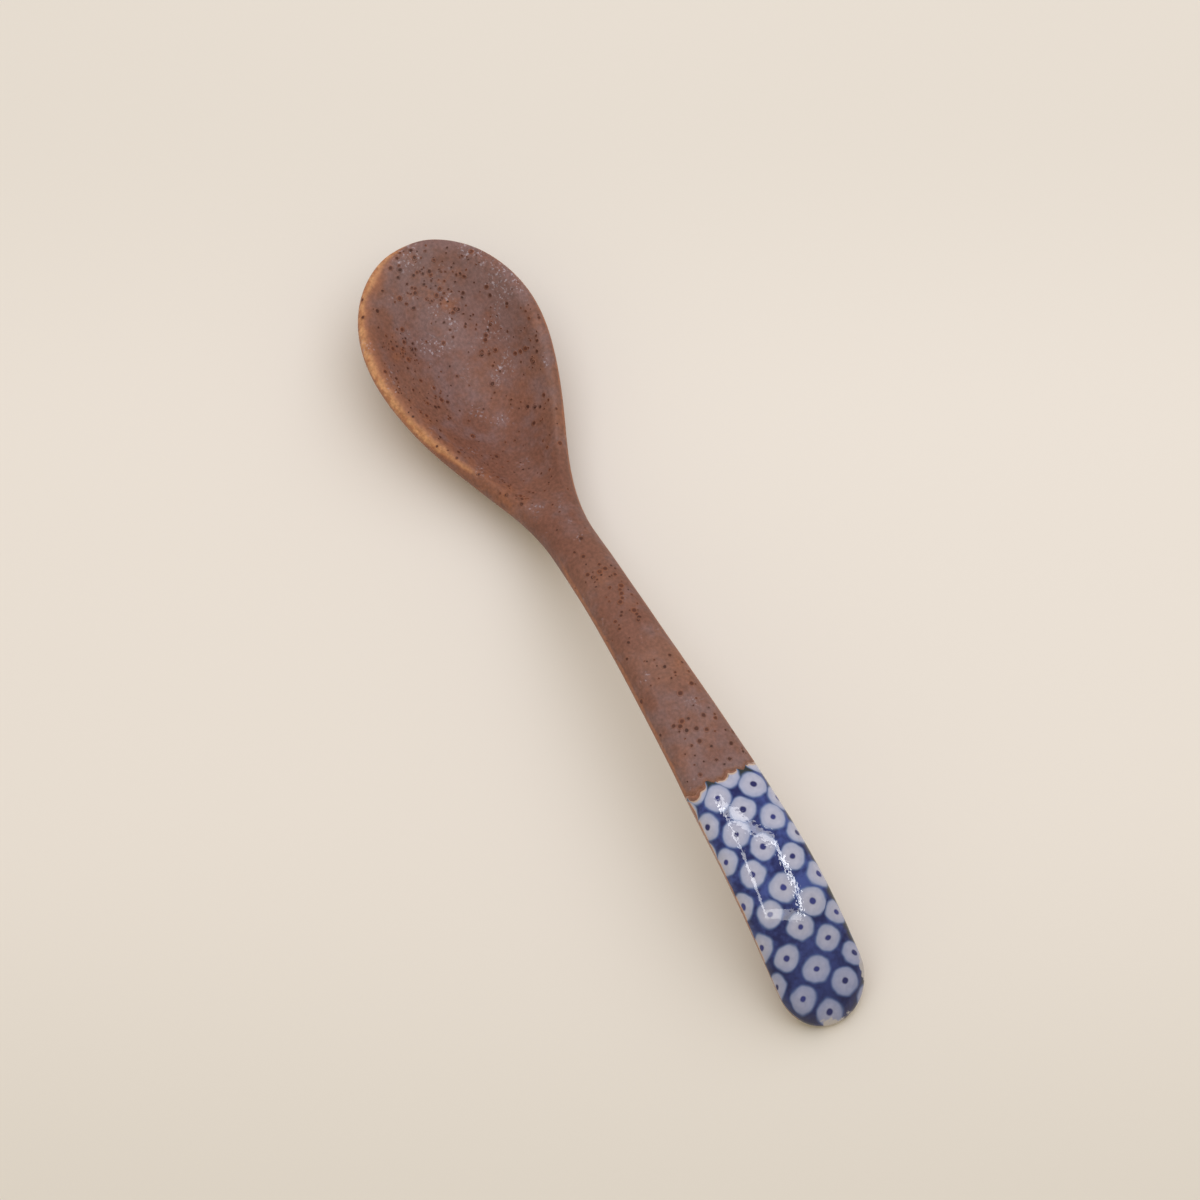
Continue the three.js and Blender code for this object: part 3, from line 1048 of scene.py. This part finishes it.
def print_shapes(tree, here):
    """The print's colour: white shapes with a blue dot on the ground, darker near the end with painted shade.
    """
    white = mix(tree, cloud(tree, here["place"], WHITE_PATCHES, 4.0), *WHITES)
    at_edge = times(tree, band(tree, here["past"], *WHITE_EDGE_FADE), WHITE_EDGE_SHARE)
    white = mix(tree, at_edge, white, WHITE_EDGE)
    colour = mix(tree, here["on_white"], print_ground(tree, here), white)
    ink = mix(tree, here["lot"], *INKS)
    colour = mix(tree, band(tree, here["past_dot"], *DOT_EDGE), colour, ink)
    # Painted shade: the whole print darker and bluer where the end turns down
    inputs = {0: here["near_end"], 6: colour, 7: END_PAINTED_SHADE}
    return add(tree, "ShaderNodeMix", inputs, data_type="RGBA", blend_type="MULTIPLY").outputs[2]


# Bare patches on the tip's edge, which the print doesn't reach
BARE = srgb(190, 184, 186)
BARE_PATCHES = 3.4
BARE_WANDER = 3.0
BARE_GRAIN = 0.8
BARE_SIDE = (1, 4)
BARE_SIDE_LESS = 0.9
BARE_FADE = (2.1, 1.85)
AT_TIP = (-57, -64)


def print_bare(tree, here):
    """Where the print is missing."""
    bare = plus(tree, here["edge"], cloud(tree, here["place"], BARE_PATCHES), BARE_WANDER)
    bare = plus(tree, bare, zone(tree, here["y"], *BARE_SIDE), BARE_SIDE_LESS)
    bare = calc(tree, "ADD", bare, cloud(tree, here["place"], BARE_GRAIN, 3.0))
    return times(tree, band(tree, bare, *BARE_FADE), zone(tree, here["x"], *AT_TIP))


# Brown glaze that crept over the print's edge: further on the lapped side and over the whites at the top
CREEP_PATCHES = 2.2
CREEP_WANDER = 0.7
LAPPED = (-64, -46)
LAPPED_BY = 0.55
AT_TOP = (-37, -34)
TOP_BACK = 0.4
TOP_OVER_WHITE = 0.6
CREEP_EDGE = (0.5, 0.34)
CREEP_FRINGE = srgb(206, 170, 130)
CREEP_FRINGE_FADE = (0.8, 0.5)
CREEP_FRINGE_SHARE = 0.7


def print_creep(tree, here):
    """Distance from the crept edge of the brown glaze, in millimetres past the parting line."""
    creep = plus(tree, here["parting"], cloud(tree, here["place"], CREEP_PATCHES, 4.0), CREEP_WANDER)
    lapped = times(tree, here["on_side"], zone(tree, here["x"], *LAPPED))
    creep = plus(tree, creep, lapped, -LAPPED_BY)
    uneven = plus(tree, TOP_BACK, here["on_white"], -TOP_OVER_WHITE)
    return plus(tree, creep, zone(tree, here["x"], *AT_TOP), uneven)


def print_colour(tree, place):
    """Colour of the printed end: the print, its bare patches, and the brown glaze over its edge."""
    here = print_here(tree, place)
    colour = mix(tree, print_bare(tree, here), print_shapes(tree, here), BARE)
    creep = print_creep(tree, here)
    fringe = times(tree, band(tree, creep, *CREEP_FRINGE_FADE), here["on_white"], CREEP_FRINGE_SHARE)
    colour = mix(tree, fringe, colour, CREEP_FRINGE)
    return mix(tree, band(tree, creep, *CREEP_EDGE), colour, glaze(tree)["Colour"])


# Clear glaze: a gloss with slow ripples and small beads, fewest on the +Y side towards the end
RIPPLE = 2.6
RIPPLE_SHARE = 1.6
BEAD = 0.4
BEADED_SIDE = (3, 0)
BEADED_TOP = (-45, -40)
BEADS_LEAST = 0.2
RIPPLE_DEPTH = 0.008
CLEAR_ROUGHNESS = 0.03
CLEAR_IOR = 1.5


def print_material():
    """The print under its clear gloss glaze."""
    made, tree, shader = new_material("blue_white_print")
    place = object_place(tree)
    tree.links.new(print_colour(tree, place), shader.inputs["Base Color"])
    where = axes(tree, place)
    beaded = larger(tree, zone(tree, where["Y"], *BEADED_SIDE), zone(tree, where["X"], *BEADED_TOP))
    beads = times(tree, cloud(tree, place, BEAD, 0.0), plus(tree, BEADS_LEAST, beaded, 1 - BEADS_LEAST))
    ripple = bump(tree, plus(tree, beads, cloud(tree, place, RIPPLE, 1.0), RIPPLE_SHARE), RIPPLE_DEPTH)
    tree.links.new(ripple, shader.inputs["Normal"])
    tree.links.new(ripple, shader.inputs["Coat Normal"])
    shader.inputs["Specular IOR Level"].default_value = 0.0
    shader.inputs["Coat Weight"].default_value = 1.0
    shader.inputs["Coat Roughness"].default_value = CLEAR_ROUGHNESS
    shader.inputs["Coat IOR"].default_value = CLEAR_IOR
    return made


printed_end, printed_numbers = coat("printed_handle_end", is_printed)
cells = printed_end.data.attributes.new("print_cell", "FLOAT_VECTOR", "POINT")
cells.data.foreach_set("vector", print_places()[printed_numbers].ravel())
printed_end.data.materials.append(print_material())
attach(printed_end, "root")
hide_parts("print_film", "clear_glaze")

# Table
# A plain pale top with a dull painted face that the spoon lies on. Painted shade makes it a little darker to
# the near side of the spoon, and less so to the far side, where the light falls off.
TABLE_HALF = 1.5
TABLE_PALES = (srgb(235, 225, 214), srgb(238, 229, 219))
TABLE_PATCHES = 240.0
TABLE_PAINTED_SHADE = srgb(226, 217, 205)
TABLE_ROUGHNESS = 0.9
TO_NEAR_SIDE = (-0.877, 0.481, 0.0)
NEAR_PAINTED_SHADE = (20, 110)
FAR_PAINTED_SHADE = (-30, -90)
FAR_PAINTED_SHADE_SHARE = 0.6


def table_material():
    """Dull pale paint, with painted shade to the near and far sides."""
    made, tree, shader = new_material("pale_table")
    place = object_place(tree)
    colour = mix(tree, cloud(tree, place, TABLE_PATCHES), *TABLE_PALES)
    inputs = {0: place, 1: TO_NEAR_SIDE}
    near = add(tree, "ShaderNodeVectorMath", inputs, operation="DOT_PRODUCT").outputs["Value"]
    # Painted shade where the light falls off, most to the near side
    far = times(tree, zone(tree, near, *FAR_PAINTED_SHADE), FAR_PAINTED_SHADE_SHARE)
    colour = mix(tree, larger(tree, zone(tree, near, *NEAR_PAINTED_SHADE), far), colour, TABLE_PAINTED_SHADE)
    tree.links.new(colour, shader.inputs["Base Color"])
    shader.inputs["Roughness"].default_value = TABLE_ROUGHNESS
    return made


def table():
    """The table's top, one flat face."""
    corners = [(-1, -1), (1, -1), (1, 1), (-1, 1)]
    mesh = bpy.data.meshes.new("table_top")
    mesh.from_pydata([(x * TABLE_HALF, y * TABLE_HALF, 0) for x, y in corners], [], [(0, 1, 2, 3)])
    mesh.materials.append(table_material())
    made = bpy.data.objects.new("table_top", mesh)
    bpy.context.scene.collection.objects.link(made)
    return made


table()

# Camera
# A long lens above the spoon, tilted towards the near side, with the bowl at the upper left of the picture.
HEADING = math.radians(61.25)
TILT = math.radians(20.69)
PIXELS_PER_MM = 6.769
DISTANCE = 1.0
PICTURE = 1200
MIDDLE_OFF = (16.6, 42.1)

picture_right = Vector((-math.cos(HEADING), -math.sin(HEADING), 0))
picture_away = Vector((math.sin(HEADING), -math.cos(HEADING), 0))
to_camera = math.cos(TILT) * Vector((0, 0, 1)) - math.sin(TILT) * picture_away
picture_up = to_camera.cross(picture_right)


def turned(place, along, side, back):
    """A matrix that puts an object at a place with its axes in three directions."""
    return Matrix.Translation(place) @ Matrix((along, side, back)).transposed().to_4x4()


aim = (MIDDLE_OFF[1] * picture_up - MIDDLE_OFF[0] * picture_right) * MM / PIXELS_PER_MM
camera_data = bpy.data.cameras.new("camera")
camera_data.lens = camera_data.sensor_width * PIXELS_PER_MM * DISTANCE / MM / PICTURE
camera = bpy.data.objects.new("camera", camera_data)
camera.matrix_world = turned(aim + DISTANCE * to_camera, picture_right, picture_up, to_camera)
bpy.context.scene.collection.objects.link(camera)
bpy.context.scene.camera = camera

# Light
# An even pale room and a wide soft panel overhead light the matt colours. A lamp's frame of four tubes, to
# the near right, only shows in reflections, which run along the handle.
LAMP_HEIGHT = 450.0
LAMP_CORNERS = ((-24, 24), (178, -14), (430, -450), (165, -370))
TUBE_WIDTHS = (0.04, 0.015, 0.06, 0.011)
TUBE_GLOWS = (6.0, 13.0, 4.6, 8.0)
PANEL_PLACE = (30, 175, 500)
PANEL_SIZE = 0.8
PANEL_GLOW = 1.15
PANEL_COLOUR = (0.98, 1.06, 1.31)
ROOM_GLOW = 0.535
ROOM_COLOUR = (1.0, 0.917, 0.67, 1.0)


def over(right, away, height):
    """A place above the table, by its distances in millimetres in the picture's directions."""
    return (picture_right * right + picture_away * away + Vector((0, 0, height))) * MM


def panel(name, middle, along, size, glow):
    """A flat light that faces the spoon, its length along a direction, with a glow on the room's scale."""
    light = bpy.data.lights.new(name, "AREA")
    light.shape = "RECTANGLE"
    light.size, light.size_y = size
    light.energy = glow * math.pi * size[0] * size[1]
    side = middle.cross(along).normalized()
    made = bpy.data.objects.new(name, light)
    made.matrix_world = turned(middle, along, side, along.cross(side))
    bpy.context.scene.collection.objects.link(made)
    return made


def room():
    """A world that glows evenly from all sides."""
    made = bpy.data.worlds.new("room")
    made.use_nodes = True
    background = made.node_tree.nodes["Background"]
    background.inputs["Color"].default_value = ROOM_COLOUR
    background.inputs["Strength"].default_value = ROOM_GLOW
    return made


for k, glow in enumerate(TUBE_GLOWS):
    start = over(*LAMP_CORNERS[k], LAMP_HEIGHT)
    end = over(*LAMP_CORNERS[(k + 1) % len(LAMP_CORNERS)], LAMP_HEIGHT)
    tube_size = ((end - start).length, TUBE_WIDTHS[k])
    tube = panel("lamp_tube_%d" % (k + 1), (start + end) / 2, (end - start).normalized(), tube_size, glow)
    tube.visible_diffuse = False
soft_panel = panel("soft_panel", over(*PANEL_PLACE), picture_right, (PANEL_SIZE, PANEL_SIZE), PANEL_GLOW)
soft_panel.data.color = PANEL_COLOUR
soft_panel.visible_glossy = False
bpy.context.scene.world = room()
bpy.context.scene.view_settings.view_transform = "Standard"
